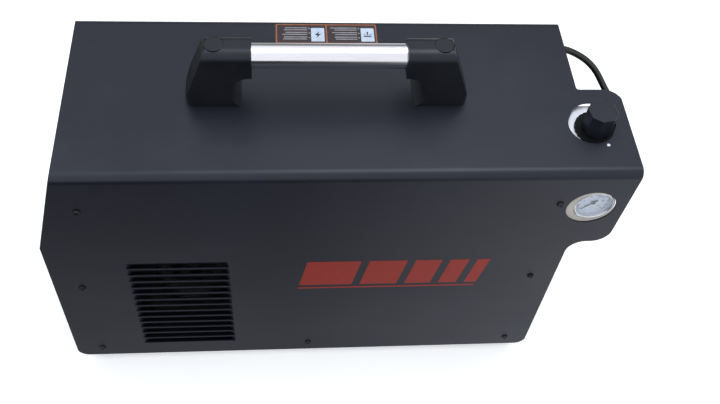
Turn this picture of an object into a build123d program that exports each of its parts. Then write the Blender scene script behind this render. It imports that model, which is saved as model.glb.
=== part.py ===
from build123d import *
import math
import os

os.makedirs("parts", exist_ok=True)

# Inverter plasma cutter with a rear air regulator. Millimetres, +X to the rear, -Y is the gauge side.
# While modelling, x is 0 at the top front edge, y is 0 on the gauge side and z is 0 on the cover's top.
# At the end everything moves so that the origin is under the middle of the object, at the feet.

# Cover
TOP_LENGTH = 552.0
WIDTH = 229.0
HEIGHT = 371.5
SHEET = 1.5
BEND = 10.0
NOSE_X = -33.0
NOSE_Z = -121.0
FRONT_X = -35.0
CORNER = 14.0
TAB_END = 600.0
TAB_LOW_END = 595.0
TAB_WIDTH = 118.6
TAB_DEPTH = 124.0
TAB_CORNER = 20.0
KNOB_HOLE = (558.9, 69.9)
KNOB_HOLE_LONG = 58.6
KNOB_HOLE_WIDE = 49.2
KNOB_HOLE_TURN = 62.5
GAUGE_HOLE_R = 27.0
GAUGE_HOLE = (558.5, -59.0)
SMALL_HOLE = (569.6, 38.8)
SMALL_HOLE_R = 2.4
SCREWS_XZ = ((17.4, -55.5), (-2.6, -204), (-3.3, -352.5), (260, -352.5), (523, -52), (523, -197), (523, -352.5))

# Louvres in both side walls
LOUVRE_X0 = 51.0
LOUVRE_X1 = 167.0
LOUVRE_TOP = -154.0
LOUVRE_PITCH = 13.6
LOUVRE_SLOT = 12.4
LOUVRE_DEPTH = 5.5
LOUVRE_END = 7.0
LOUVRE_ROWS = 14

# Panels and base
RECESS = 20.0
FLANGE = 22.0
GAP = 0.2
REAR_X = TOP_LENGTH - RECESS
PANEL_LOW = -HEIGHT + SHEET + GAP
PANEL_TOP = -SHEET - 2 * GAP
SIDE_IN = SHEET + GAP
PANEL_CORNER = SIDE_IN + 6 * SHEET
FOOT_HEIGHT = 12.0
FOOT_X = (30.0, 490.0)
FOOT_Y = (35.0, WIDTH - 35.0)

# Handle
HANDLE_X = 276.5
MID_Y = WIDTH / 2
TUBE_R = 13.0
TUBE_Z = 54.0
TUBE_SHOWN = 159.0
HANDLE_BASE = 298.0
HANDLE_TOP = 258.0
HANDLE_HEIGHT = 70.0
HANDLE_WIDTH = 40.0
PLUG_X = 117.0
PLUG_R = 10.0

# Air regulator: vertical axis, gauge axis along y
REG_X = 563.0
REG_Y = 65.0
GAUGE_Z = -59.0
RING_TOP = -2.5
PLATE_TOP = -5.5
PLATE = 2.0
BODY_TOP = -42.0
BODY_LOW = -78.0
BODY_HALF = 21.0
NECK_R = 15.0
KNOB_R = 16.6
KNOB_TURN = 33.4
KNOB_TOP = 25.0
SCREW_R = 4.0
RUNNING = 0.06

# Air hose, from the regulator's outlet to the fitting on the rear panel
HOSE_R = 4.0
OUTLET_Y = 102.0
OUTLET_END = 586.0
INLET_Y = 200.0
INLET_Z = -16.0
INLET_END = 546.0
HOSE_ROUTE = (
    (578.0, OUTLET_Y, GAUGE_Z),
    (600.0, OUTLET_Y, GAUGE_Z),
    (612.5, 109.0, -59.0),
    (620.0, 121.5, -59.5),
    (621.5, 137.0, -59.5),
    (617.5, 153.5, -57.5),
    (609.0, 169.5, -49.0),
    (597.0, 182.5, -38.0),
    (583.5, 191.5, -28.0),
    (568.5, 198.0, -19.5),
    (553.0, INLET_Y, INLET_Z),
    (538.0, INLET_Y, INLET_Z),
)

# Fan
FAN_Y = MID_Y
FAN_Z = -275.0
FAN_HALF = 60.0
FAN_BORE = 57.0
FAN_DEPTH = 38.0

# Slanted control panel and vertical connector panel
SLANT = math.atan2(-NOSE_X, -NOSE_Z)
PANEL_X0 = RECESS
PANEL_X1 = NOSE_X + RECESS
PANEL_X2 = FRONT_X + RECESS
CONNECTOR_Z = -310.0


def outline(*corners):
    """Closed face through corners (a, b) or, rounded, (a, b, radius)."""
    face = make_face(Polyline(*[corner[:2] for corner in corners], close=True))
    for corner in corners:
        if len(corner) == 3:
            vertex = face.vertices().sort_by_distance((corner[0], corner[1]))[0]
            face = fillet(vertex, corner[2])
    return face


def along_x(face, x0, x1):
    """Extrude a face given in (y, z) from x0 to x1."""
    return Pos(x0, 0, 0) * extrude(Plane.YZ * face, x1 - x0)


def along_y(face, y0, y1):
    """Extrude a face given in (x, z) from y0 to y1."""
    return Pos(0, y0, 0) * extrude(Plane.XZ * face, y0 - y1)


def along_z(face, z0, z1):
    """Extrude a face given in (x, y) from z0 to z1."""
    return Pos(0, 0, z0) * extrude(face, z1 - z0)


def block(x0, x1, y0, y1, z0, z1):
    """Box between two corners."""
    return Pos((x0 + x1) / 2, (y0 + y1) / 2, (z0 + z1) / 2) * Box(x1 - x0, y1 - y0, z1 - z0)


def rod_x(radius, x0, x1, y, z):
    """Cylinder along x."""
    return along_x(Pos(y, z) * Circle(radius), x0, x1)


def rod_y(radius, y0, y1, x, z):
    """Cylinder along y."""
    return along_y(Pos(x, z) * Circle(radius), y0, y1)


def rod_z(radius, z0, z1, x, y):
    """Cylinder along z."""
    return along_z(Pos(x, y) * Circle(radius), z0, z1)


def hex_x(across, x0, x1, y, z):
    """Hexagonal prism along x; across is the size over its flats."""
    return along_x(Pos(y, z) * RegularPolygon(across / 2, 6, major_radius=False), x0, x1)


def hex_y(across, y0, y1, x, z):
    """Hexagonal prism along y; across is the size over its flats."""
    return along_y(Pos(x, z) * RegularPolygon(across / 2, 6, major_radius=False), y0, y1)


def mirrored(part):
    """The same part on the far side of the middle plane."""
    return Pos(0, WIDTH, 0) * mirror(part, Plane.XZ)


def group(parts):
    """Separate solids that share one node."""
    return Compound(children=[solid for part in parts for solid in part.solids()])


def revolved(points, x, y):
    """Solid of revolution about a vertical axis; points are (radius, z)."""
    return Pos(x, y, 0) * revolve(Plane.XZ * outline(*points), Axis.Z)


# ---------------------------------------------------------------- cover and panels


def louvre_pair(row):
    """Inward scoop and the void in front of it, for one row of the gauge-side wall."""
    top = LOUVRE_TOP - row * LOUVRE_PITCH
    low = top - LOUVRE_SLOT
    skin = SHEET * math.hypot(LOUVRE_DEPTH, LOUVRE_SLOT) / LOUVRE_SLOT
    scoops = []
    for extra, front in ((skin, 0.0), (0.0, -1.0)):
        section = outline((front, top), (extra, top), (LOUVRE_DEPTH + extra, low), (front, low))
        plan = outline(
            (LOUVRE_X0 - extra, front),
            (LOUVRE_X1 + extra, front),
            (LOUVRE_X1 + extra, 0.0 if front else SHEET),
            (LOUVRE_X1 - LOUVRE_END + extra, LOUVRE_DEPTH + extra),
            (LOUVRE_X0 + LOUVRE_END - extra, LOUVRE_DEPTH + extra),
            (LOUVRE_X0 - extra, 0.0 if front else SHEET),
        )
        scoops.append(along_x(section, LOUVRE_X0 - 5, LOUVRE_X1 + 5) & along_z(plan, low, top))
    return scoops


def cover_shell():
    """Top and both side walls in one bent sheet, with the overhang that shelters the regulator."""
    inner = BEND - SHEET
    section = outline((0, -HEIGHT), (0, 0, BEND), (WIDTH, 0, BEND), (WIDTH, -HEIGHT))
    section -= outline(
        (SHEET, -HEIGHT - 1),
        (SHEET, -SHEET, inner),
        (WIDTH - SHEET, -SHEET, inner),
        (WIDTH - SHEET, -HEIGHT - 1),
    )
    side = outline(
        (0, 0),
        (0, 5),
        (TAB_END, 5),
        (TAB_END, 0),
        (TAB_LOW_END, -TAB_DEPTH, TAB_CORNER),
        (TOP_LENGTH, -TAB_DEPTH, TAB_CORNER),
        (TOP_LENGTH, -HEIGHT, CORNER),
        (FRONT_X, -HEIGHT, CORNER),
        (NOSE_X, NOSE_Z, 8),
    )
    plan = outline(
        (FRONT_X - 5, -5),
        (TAB_END + 1, -5),
        (TAB_END + 1, TAB_WIDTH, TAB_CORNER),
        (TOP_LENGTH, TAB_WIDTH, 3),
        (TOP_LENGTH, WIDTH + 5),
        (FRONT_X - 5, WIDTH + 5),
    )
    shell = along_x(section, FRONT_X - 5, TAB_END + 5)
    shell &= along_y(side, -1, WIDTH + 1)
    shell &= along_z(plan, -HEIGHT - 1, 6)
    pairs = [louvre_pair(row) for row in range(LOUVRE_ROWS)]
    scoops = [pair[0] for pair in pairs]
    voids = [pair[1] for pair in pairs]
    shell += scoops + [mirrored(scoop) for scoop in scoops]
    shell -= voids + [mirrored(void) for void in voids]
    slot = Pos(*KNOB_HOLE) * SlotOverall(KNOB_HOLE_LONG, KNOB_HOLE_WIDE, rotation=KNOB_HOLE_TURN)
    shell -= along_z(slot, -5, 5)
    shell -= rod_z(SMALL_HOLE_R, -5, 5, *SMALL_HOLE)
    shell -= rod_y(GAUGE_HOLE_R, -5, 10, *GAUGE_HOLE)
    shell -= [rod_y(2.2, -5, WIDTH + 5, x, z) for x, z in SCREWS_XZ]
    shell -= [rod_z(3.2, -5, 5, HANDLE_X + side * PLUG_X, MID_Y) for side in (-1, 1)]
    return shell


def pan_screw():
    """Pan-head screw along +y with its head's underside at y = 0 and a cross recess."""
    head = revolve(outline((0, 0), (4, 0), (4, -0.9), (2.6, -2.3), (0, -2.3)), Axis.Y)
    cross = Box(3.8, 1.3, 0.9) + Box(0.9, 1.3, 3.8)
    return head + rod_y(2, -0.3, 8, 0, 0) - Pos(0, -2.3, 0) * cross


def cover_screws():
    """Screws of both side walls."""
    near = [Pos(x, 0, z) * pan_screw() for x, z in SCREWS_XZ]
    return group(near + [mirrored(screw) for screw in near])


def base_tray():
    """Floor plate with upturned sides that the cover is screwed to."""
    tray = block(FRONT_X + CORNER, TOP_LENGTH - CORNER, SIDE_IN, WIDTH - SIDE_IN, -HEIGHT, -HEIGHT + SHEET)
    side = block(12, REAR_X - FLANGE - 3, SIDE_IN, SIDE_IN + SHEET, -HEIGHT, -HEIGHT + 26)
    tray += [side, mirrored(side)]
    tray -= [rod_z(3, -HEIGHT - 5, -HEIGHT + 5, x, y) for x in FOOT_X for y in FOOT_Y]
    tray -= [rod_y(2.1, -5, WIDTH + 5, 260, -352.5)]
    return tray


def slanted(u, v, w=0.0):
    """Place on the slanted panel: u to the right and v up as seen from the front, w outwards."""
    middle = Vector((PANEL_X0 + PANEL_X1) / 2, MID_Y, NOSE_Z / 2)
    plane = Plane(middle, x_dir=(0, -1, 0), z_dir=(-math.cos(SLANT), 0, math.sin(SLANT)))
    return plane.location * Pos(u, v, w)


KNOB_UV = (52.0, -18.0)
DISPLAY_UV = (-48.0, 26.0)
LAMPS_UV = ((24.0, 38.0), (52.0, 38.0), (80.0, 38.0))
TEST_UV = (-48.0, -30.0)
TORCH_Y = 58.0
TRIGGER_Y = 115.0
WORK_Y = 172.0


def front_panel():
    """Bent sheet: slanted control face above, vertical connector face below, flanges behind."""
    outer = [(PANEL_X0, PANEL_TOP), (PANEL_X1, NOSE_Z), (PANEL_X2, PANEL_LOW)]
    inner = [(PANEL_X2 + SHEET, PANEL_LOW), (PANEL_X1 + SHEET, NOSE_Z), (PANEL_X0 + SHEET, PANEL_TOP)]
    back = [(PANEL_X2 + FLANGE, PANEL_LOW), (PANEL_X1 + FLANGE, NOSE_Z), (PANEL_X0 + FLANGE, PANEL_TOP)]
    skin = along_y(outline(*outer, *inner), SIDE_IN, WIDTH - SIDE_IN)
    flange = along_y(outline(*outer, *back), SIDE_IN, SIDE_IN + SHEET)
    top = block(PANEL_X0 + 1, PANEL_X0 + FLANGE, SIDE_IN, WIDTH - SIDE_IN, PANEL_TOP - SHEET, PANEL_TOP)
    panel = skin + [flange, mirrored(flange), top]
    corner = along_x(outline((0, 0), (PANEL_CORNER, 0), (0, -PANEL_CORNER)), -40, 60)
    panel -= [corner, mirrored(corner)]
    panel -= slanted(*KNOB_UV) * Cylinder(4.2, 20)
    panel -= slanted(*DISPLAY_UV) * Box(58.6, 26.6, 20)
    panel -= slanted(*TEST_UV) * Box(27.6, 20.6, 20)
    panel -= [slanted(*uv) * Cylinder(4.2, 20) for uv in LAMPS_UV]
    panel -= rod_x(13.2, -40, 0, TORCH_Y, CONNECTOR_Z)
    panel -= rod_x(9.2, -40, 0, TRIGGER_Y, CONNECTOR_Z)
    panel -= rod_x(16.2, -40, 0, WORK_Y, CONNECTOR_Z)
    slot = SlotOverall(150, 7)
    panel -= [Pos(0, 0, -150 - 13 * row) * along_x(Pos(MID_Y, 0) * slot, -40, 0) for row in range(8)]
    panel -= [rod_y(2.1, -5, WIDTH + 5, x, z) for x, z in SCREWS_XZ[:3]]
    return panel


BREAKER_Y = 186.0
BREAKER_Z = -165.0
GLAND_Y = 168.0
GLAND_Z = -72.0
EARTH_Y = 205.0
EARTH_Z = -345.0


def rear_panel():
    """Flat rear wall with flanges, a fan opening and holes for the fittings."""
    panel = block(REAR_X - SHEET, REAR_X, SIDE_IN, WIDTH - SIDE_IN, PANEL_LOW, PANEL_TOP)
    flange = block(REAR_X - FLANGE, REAR_X, SIDE_IN, SIDE_IN + SHEET, PANEL_LOW, PANEL_TOP)
    top = block(REAR_X - FLANGE, REAR_X, SIDE_IN, WIDTH - SIDE_IN, PANEL_TOP - SHEET, PANEL_TOP)
    panel += [flange, mirrored(flange), top]
    corner = along_x(outline((0, 0), (PANEL_CORNER, 0), (0, -PANEL_CORNER)), REAR_X - 40, REAR_X + 5)
    panel -= [corner, mirrored(corner)]
    panel -= rod_x(FAN_BORE, REAR_X - 5, REAR_X + 5, FAN_Y, FAN_Z)
    panel -= fan_corners(2.2, REAR_X - 5, REAR_X + 5)
    panel -= rod_x(6.6, REAR_X - 5, REAR_X + 5, INLET_Y, INLET_Z)
    panel -= rod_x(10.2, REAR_X - 5, REAR_X + 5, GLAND_Y, GLAND_Z)
    panel -= block(REAR_X - 5, REAR_X + 5, BREAKER_Y - 18, BREAKER_Y + 18, BREAKER_Z - 22.8, BREAKER_Z + 22.8)
    panel -= rod_x(3.1, REAR_X - 5, REAR_X + 5, EARTH_Y, EARTH_Z)
    panel -= [rod_x(2.1, REAR_X - 5, REAR_X + 5, y, z) for y, z in BRACKET_SCREWS]
    panel -= [rod_y(2.1, -5, WIDTH + 5, x, z) for x, z in SCREWS_XZ[4:]]
    return panel


def rubber_feet():
    """Four tapered rubber feet with a recess for the screw."""
    foot = Cone(13, 11, FOOT_HEIGHT) - Pos(0, 0, -3.4) * Cylinder(6, 6) - Cylinder(2.6, 20)
    low = -HEIGHT - FOOT_HEIGHT / 2
    return group([Pos(x, y, low) * foot for x in FOOT_X for y in FOOT_Y])


# ---------------------------------------------------------------- handle


def handle_end(side):
    """Black plastic end: foot, sleeve round the tube and a concave inner arc; side is -1 or 1."""
    foot = HANDLE_BASE / 2
    top = HANDLE_TOP / 2
    sleeve = TUBE_SHOWN / 2
    under = TUBE_Z - TUBE_R - 2.5
    edge = [
        Line((sleeve, HANDLE_HEIGHT), (top - 5, HANDLE_HEIGHT)),
        Line((top, HANDLE_HEIGHT - 5), (foot, 9)),
        Line((foot - 7, 0), (sleeve + 12, 0)),
        Line((sleeve, under), (sleeve, HANDLE_HEIGHT)),
    ]
    arcs = [
        RadiusArc(edge[0] @ 1, edge[1] @ 0, 6),
        ThreePointArc(edge[1] @ 1, (foot - 1.2, 3), edge[2] @ 0),
        ThreePointArc(edge[2] @ 1, (sleeve + 23, 0.45 * under), edge[3] @ 0),
    ]
    solid = along_y(make_face(edge + arcs), -HANDLE_WIDTH / 2, HANDLE_WIDTH / 2)
    half_top = TUBE_R + 2.5
    half_low = HANDLE_WIDTH / 2
    taper = outline(
        (-half_low, -1),
        (-half_low, 3),
        (-half_top, HANDLE_HEIGHT, 11),
        (half_top, HANDLE_HEIGHT, 11),
        (half_low, 3),
        (half_low, -1),
    )
    solid &= along_x(taper, sleeve - 1, foot + 1)
    plan = outline(
        (sleeve - 1, -half_low - 1), (foot, -half_low - 1, 12), (foot, half_low + 1, 12), (sleeve - 1, half_low + 1)
    )
    solid &= along_z(plan, -1, HANDLE_HEIGHT + 1)
    solid -= rod_x(TUBE_R + 0.1, sleeve - 1, sleeve + 20.2, 0, TUBE_Z)
    solid -= rod_z(PLUG_R + 0.1, HANDLE_HEIGHT - 3.2, HANDLE_HEIGHT + 1, PLUG_X, 0)
    solid -= rod_z(7.0, 12, HANDLE_HEIGHT, PLUG_X, 0)
    solid -= rod_z(3.1, -1, 20, PLUG_X, 0)
    if side < 0:
        solid = mirror(solid, Plane.YZ)
    return Pos(HANDLE_X, MID_Y, 0) * solid


def handle_tube():
    """Bright tube that the hand grips."""
    half = TUBE_SHOWN / 2 + 20
    tube = rod_x(TUBE_R, -half, half, 0, TUBE_Z) - rod_x(TUBE_R - 1.5, -half - 1, half + 1, 0, TUBE_Z)
    return Pos(HANDLE_X, MID_Y, 0) * tube


def handle_plugs():
    """Round covers over the two handle screws."""
    disc = Pos(0, 0, HANDLE_HEIGHT - 1.6) * Cylinder(PLUG_R, 3.0)
    disc -= Pos(0, 0, HANDLE_HEIGHT - 3.4) * Cylinder(PLUG_R - 2, 1.2)
    return group([Pos(HANDLE_X + side * PLUG_X, MID_Y, 0) * disc for side in (-1, 1)])


# ---------------------------------------------------------------- air regulator

BRACKET_SCREWS = ((REG_Y - 14, -24.0), (REG_Y + 14, -24.0))


def regulator_bracket():
    """Bright angle bracket: a plate round the bonnet's neck and a leg on the rear panel."""
    half = 34.0
    end = REG_X + 26.0
    low = PLATE_TOP - PLATE
    plate = along_z(
        outline(
            (REAR_X, REG_Y - half),
            (end, REG_Y - half, 10),
            (end, REG_Y + half, 10),
            (REAR_X, REG_Y + half),
        ),
        low,
        PLATE_TOP,
    )
    leg = block(REAR_X, REAR_X + PLATE, REG_Y - half, REG_Y + half, -36, PLATE_TOP)
    bracket = plate + leg - rod_z(NECK_R + 0.15, -20, 0, REG_X, REG_Y)
    bracket -= [rod_x(2.1, REAR_X - 5, REAR_X + 5, y, z) for y, z in BRACKET_SCREWS]
    return bracket


def regulator_bonnet():
    """Black plastic bonnet with its threaded neck, bored for the screw and hollow for the spring."""
    points = (
        (0, BODY_TOP),
        (19.5, BODY_TOP),
        (19.5, -14),
        (16.5, PLATE_TOP - PLATE),
        (NECK_R, PLATE_TOP - PLATE),
        (NECK_R, RING_TOP),
        (12, RING_TOP),
        (12, 12),
        (0, 12),
    )
    bonnet = revolved(points, REG_X, REG_Y)
    bonnet -= rod_z(11, BODY_TOP - 1, -16, REG_X, REG_Y)
    bonnet -= rod_z(SCREW_R + RUNNING, -20, 14, REG_X, REG_Y)
    return bonnet


def ring_nut():
    """Flat round nut that clamps the bracket, with grip notches round its rim."""
    nut = rod_z(23.5, PLATE_TOP, RING_TOP, REG_X, REG_Y) - rod_z(NECK_R, -10, 5, REG_X, REG_Y)
    notches = PolarLocations(24.3, 24)
    return nut - Pos(REG_X, REG_Y, -4) * notches * Cylinder(1.5, 8)


def adjusting_screw():
    """Screw that the knob turns, with the disc that loads the spring."""
    screw = rod_z(SCREW_R, -22, 13.5, REG_X, REG_Y) + rod_z(9, -24, -20.2, REG_X, REG_Y)
    flats = along_z(Pos(REG_X, REG_Y) * RegularPolygon(3.2, 6), 13.5, 20)
    return screw + flats


def regulator_knob():
    """Hollow eight-sided knob; it lifts to unlock and then turns."""
    knob = along_z(RegularPolygon(KNOB_R, 8, rotation=KNOB_TURN), -2.1, KNOB_TOP)
    knob = fillet(knob.edges().filter_by(Axis.Z), 0.8)
    knob = chamfer(knob.faces().sort_by(Axis.Z)[-1].edges(), 0.8)
    knob -= rod_z(12.4, -3, 15, 0, 0)
    knob -= along_z(RegularPolygon(3.35, 6), 10, 21.5)
    return Pos(REG_X, REG_Y, 0) * knob


def regulator_body():
    """Die-cast block with gauge, outlet and inlet ports and a round skirt for the bowl."""
    face = outline(
        (-BODY_HALF, -BODY_HALF, 6), (BODY_HALF, -BODY_HALF, 6), (BODY_HALF, BODY_HALF, 6), (-BODY_HALF, BODY_HALF, 6)
    )
    body = Pos(REG_X, REG_Y, 0) * along_z(face, BODY_LOW, BODY_TOP)
    body += rod_y(10, REG_Y - BODY_HALF - 3, REG_Y, REG_X, GAUGE_Z)
    body += rod_y(10, REG_Y, REG_Y + BODY_HALF + 3, REG_X, GAUGE_Z)
    body += rod_x(12, REG_X, REG_X + BODY_HALF + 3, REG_Y, GAUGE_Z)
    body += rod_z(20, BODY_LOW - 8, BODY_LOW, REG_X, REG_Y)
    body -= rod_z(17.2, BODY_LOW - 9, BODY_LOW - 1, REG_X, REG_Y)
    body -= rod_y(5.1, REG_Y - BODY_HALF - 4, REG_Y - BODY_HALF + 6, REG_X, GAUGE_Z)
    body -= rod_y(6.1, REG_Y + BODY_HALF - 6, REG_Y + BODY_HALF + 4, REG_X, GAUGE_Z)
    body -= rod_x(6.58, REG_X + BODY_HALF - 9, REG_X + BODY_HALF + 4, REG_Y, GAUGE_Z)
    return body


def gauge_case():
    """Steel cup of the gauge with its square shank and threaded stem."""
    case = rod_y(21.6, 5.2, 27, REG_X, GAUGE_Z) - rod_y(20.6, 4, 25.6, REG_X, GAUGE_Z)
    case += along_y(Pos(REG_X, GAUGE_Z) * Rectangle(12, 12), 26.8, REG_Y - BODY_HALF - 3.1)
    case += rod_y(5, 27, REG_Y - BODY_HALF + 5.5, REG_X, GAUGE_Z)
    return case - rod_y(1.02, 20, 27, REG_X, GAUGE_Z)


def gauge_bezel():
    """Rolled bright rim that holds the lens."""
    ring = outline((20.0, 1.8, 0.8), (22.5, 3.2, 1.0), (22.5, 9.0), (21.7, 9.0), (21.7, 3.5), (20.0, 3.5))
    return Pos(REG_X, 0, GAUGE_Z) * revolve(ring, Axis.Y)


def gauge_dial():
    """Printed disc with a hole for the pointer's shaft."""
    return rod_y(20.4, 8.0, 8.8, REG_X, GAUGE_Z) - rod_y(1.2, 7, 10, REG_X, GAUGE_Z)


def gauge_pointer():
    """Pointer with tail, hub and shaft, resting at the lower left."""
    rest = math.radians(225)
    blade = outline((-5.5, -1.0), (-5.5, 1.0), (0, 0.8), (16, 0.25), (16, -0.25), (0, -0.8))
    turned = Rot(0, 0, math.degrees(rest)) * blade
    pointer = along_y(turned, 6.6, 7.0) + rod_y(2.2, 5.9, 7.3, 0, 0) + rod_y(0.96, 7.3, 26.6, 0, 0)
    return Pos(REG_X, 0, GAUGE_Z) * pointer


def gauge_lens():
    """Clear flat window."""
    return rod_y(20.5, 3.6, 4.8, REG_X, GAUGE_Z)


BOWL_TOP = BODY_LOW - 1.2
BOWL_LOW = -146.0


def filter_bowl():
    """Clear bowl with a rounded bottom and a drain hole."""
    bowl = rod_z(16.4, BOWL_LOW, BOWL_TOP, REG_X, REG_Y)
    bowl = fillet(bowl.faces().sort_by(Axis.Z)[0].edges(), 9)
    inner = rod_z(14.2, BOWL_LOW + 2.4, BOWL_TOP + 1, REG_X, REG_Y)
    inner = fillet(inner.faces().sort_by(Axis.Z)[0].edges(), 8)
    return bowl - inner - rod_z(4.06, BOWL_LOW - 1, BOWL_LOW + 5, REG_X, REG_Y)


def bowl_guard():
    """Black cage round the bowl with four tall windows."""
    guard = rod_z(20, BOWL_LOW - 2.4, BODY_LOW - 8.3, REG_X, REG_Y)
    guard = fillet(guard.faces().sort_by(Axis.Z)[0].edges(), 10)
    inner = rod_z(17.2, BOWL_LOW - 0.2, BODY_LOW, REG_X, REG_Y)
    inner = fillet(inner.faces().sort_by(Axis.Z)[0].edges(), 8.6)
    guard -= inner
    guard -= rod_z(9, BOWL_LOW - 3, BOWL_LOW + 5, REG_X, REG_Y)
    window = block(-30, 30, -4.5, 4.5, BOWL_LOW + 14, BODY_LOW - 20)
    turns = [Pos(REG_X, REG_Y, 0) * Rot(0, 0, 45 + 90 * k) * window for k in range(2)]
    return guard - turns


def filter_element():
    """Sintered filter cartridge hanging in the bowl on its stud."""
    element = rod_z(9, -116, -88, REG_X, REG_Y) + rod_z(11, -88, -85, REG_X, REG_Y)
    return element + rod_z(3, -85, BODY_LOW - 1.1, REG_X, REG_Y) + rod_z(11, -119, -116, REG_X, REG_Y)


def drain_valve():
    """Knurled drain screw under the bowl."""
    stem = rod_z(4, BOWL_LOW - 6, BOWL_LOW + 6, REG_X, REG_Y)
    thumb = rod_z(6.5, BOWL_LOW - 14, BOWL_LOW - 4, REG_X, REG_Y)
    thumb -= Pos(REG_X, REG_Y, BOWL_LOW - 9) * PolarLocations(7.0, 16) * Cylinder(0.9, 14)
    return stem + thumb - rod_z(1.5, BOWL_LOW - 15, BOWL_LOW + 7, REG_X, REG_Y)


def outlet_fitting():
    """Push-in elbow on the regulator's far port: it turns the hose towards the rear."""
    start = REG_Y + BODY_HALF + 3.1
    fitting = hex_y(14, start, start + 5, REG_X, GAUGE_Z) + rod_y(6, start - 8, start, REG_X, GAUGE_Z)
    fitting += rod_y(6.6, start + 5, OUTLET_Y + 3, REG_X, GAUGE_Z)
    fitting += rod_x(6.6, REG_X - 6, OUTLET_END - 2.2, OUTLET_Y, GAUGE_Z)
    fitting += rod_x(5.8, OUTLET_END - 2.2, OUTLET_END, OUTLET_Y, GAUGE_Z)
    fitting -= rod_x(HOSE_R + 0.1, HOSE_ROUTE[0][0] - 0.2, OUTLET_END + 1, OUTLET_Y, GAUGE_Z)
    bore = rod_x(2.5, REG_X, OUTLET_END, OUTLET_Y, GAUGE_Z) + rod_y(2.5, REG_Y, OUTLET_Y, REG_X, GAUGE_Z)
    return fitting - bore


def bulkhead_fitting():
    """Push-in bulkhead fitting through the rear panel with its lock nut."""
    fitting = rod_x(6.5, REAR_X - 14, INLET_END - 2.2, INLET_Y, INLET_Z)
    fitting += rod_x(5.8, INLET_END - 2.2, INLET_END, INLET_Y, INLET_Z)
    fitting += hex_x(16, REAR_X + 0.05, REAR_X + 5, INLET_Y, INLET_Z)
    fitting += hex_x(15, REAR_X - SHEET - 5, REAR_X - SHEET - 0.05, INLET_Y, INLET_Z)
    fitting += hex_x(12, REAR_X - 24, REAR_X - 14, INLET_Y, INLET_Z)
    fitting -= rod_x(HOSE_R + 0.1, HOSE_ROUTE[-1][0] - 0.2, INLET_END + 5, INLET_Y, INLET_Z)
    return fitting - rod_x(2.5, REAR_X - 30, INLET_END, INLET_Y, INLET_Z)


def air_hose():
    """Hose from the regulator to the bulkhead fitting: straight runs joined by tangent arcs."""
    route = [Vector(*point) for point in HOSE_ROUTE]
    radii = []
    for before, here, after in zip(route, route[1:], route[2:]):
        half_turn = math.radians((here - before).get_angle(after - here)) / 2
        shorter = min((here - before).length, (after - here).length)
        radii.append(0.45 * shorter / math.tan(half_turn))
    path = FilletPolyline(*route, radius=radii)
    hose = sweep((path ^ 0) * Circle(HOSE_R), path=path)
    print("hose arc radii", [round(radius) for radius in radii], "length", round(path.length))
    print("hose volume over section times length", hose.volume / (math.pi * HOSE_R**2 * path.length))
    return hose


def inlet_nipple():
    """Quick-coupling nipple that the compressor's hose plugs onto."""
    start = REG_X + BODY_HALF + 3.1
    points = ((0, -9), (6.5, -9), (6.5, 0), (8.2, 0), (8.2, 6), (4.6, 7.5), (4.6, 11), (5.9, 12), (5.9, 15), (4.0, 19))
    nipple = revolve(outline(*points, (0, 19)), Axis.Y)
    nipple = Pos(start, REG_Y, GAUGE_Z) * Rot(0, 0, -90) * nipple
    return nipple - rod_x(2.6, start - 12, start + 25, REG_Y, GAUGE_Z)


# ---------------------------------------------------------------- rear fittings


def mains_gland():
    """Cable gland with a hexagonal foot, a tapered clamping nut and an inner lock nut."""
    gland = hex_x(30, REAR_X + 0.05, REAR_X + 7, GLAND_Y, GLAND_Z)
    gland += rod_x(10, REAR_X - 9, REAR_X + 0.05, GLAND_Y, GLAND_Z)
    gland += hex_x(26, REAR_X - 6.5, REAR_X - SHEET - 0.05, GLAND_Y, GLAND_Z)
    dome = revolve(outline((0, 7), (14, 7), (14, 20, 1.5), (9, 37, 3), (0, 37)), Axis.Y)
    gland += Pos(REAR_X, GLAND_Y, GLAND_Z) * Rot(0, 0, -90) * dome
    ribs = [Rot(36 * k, 0, 0) * Pos(REAR_X + 13.5, 0, 14) * Box(11, 2.2, 1.6) for k in range(10)]
    gland += [Pos(0, GLAND_Y, GLAND_Z) * rib for rib in ribs]
    return gland - rod_x(5.5, REAR_X - 12, REAR_X + 40, GLAND_Y, GLAND_Z)


LEVER_PIVOT_X = REAR_X + 1.0
LEVER_R = 7.0
LEVER_REST = 32.0


def breaker_body():
    """Two-pole circuit breaker behind the panel, its nose through the cut-out."""
    body = block(REAR_X - 66, REAR_X - 8, BREAKER_Y - 18, BREAKER_Y + 18, BREAKER_Z - 40, BREAKER_Z + 40)
    body += block(REAR_X - 8.5, REAR_X + 4, BREAKER_Y - 17.6, BREAKER_Y + 17.6, BREAKER_Z - 22.5, BREAKER_Z + 22.5)
    body -= rod_y(LEVER_R + 0.4, BREAKER_Y - 14, BREAKER_Y + 14, LEVER_PIVOT_X, BREAKER_Z)
    body -= block(
        LEVER_PIVOT_X, REAR_X + 5, BREAKER_Y - 14, BREAKER_Y + 14, BREAKER_Z - 13, BREAKER_Z + 13
    )
    pin = rod_y(1.5, BREAKER_Y - 14.5, BREAKER_Y + 14.5, LEVER_PIVOT_X, BREAKER_Z)
    return body + pin


def breaker_lever():
    """Rocking lever of the breaker, hanging down when off."""
    lever = Cylinder(LEVER_R, 27, rotation=(90, 0, 0))
    lever += Pos(LEVER_R + 3, 0, 0) * Box(14, 27, 5)
    lever = lever - Cylinder(1.56, 30, rotation=(90, 0, 0))
    return Pos(LEVER_PIVOT_X, BREAKER_Y, BREAKER_Z) * Rot(0, LEVER_REST, 0) * lever


def fan_corners(radius, x0, x1):
    """Rods through the fan's four fixing holes."""
    reach = 52.5
    return [rod_x(radius, x0, x1, FAN_Y + i * reach, FAN_Z + j * reach) for i in (-1, 1) for j in (-1, 1)]


FAN_BACK = REAR_X - SHEET - 0.1


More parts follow.
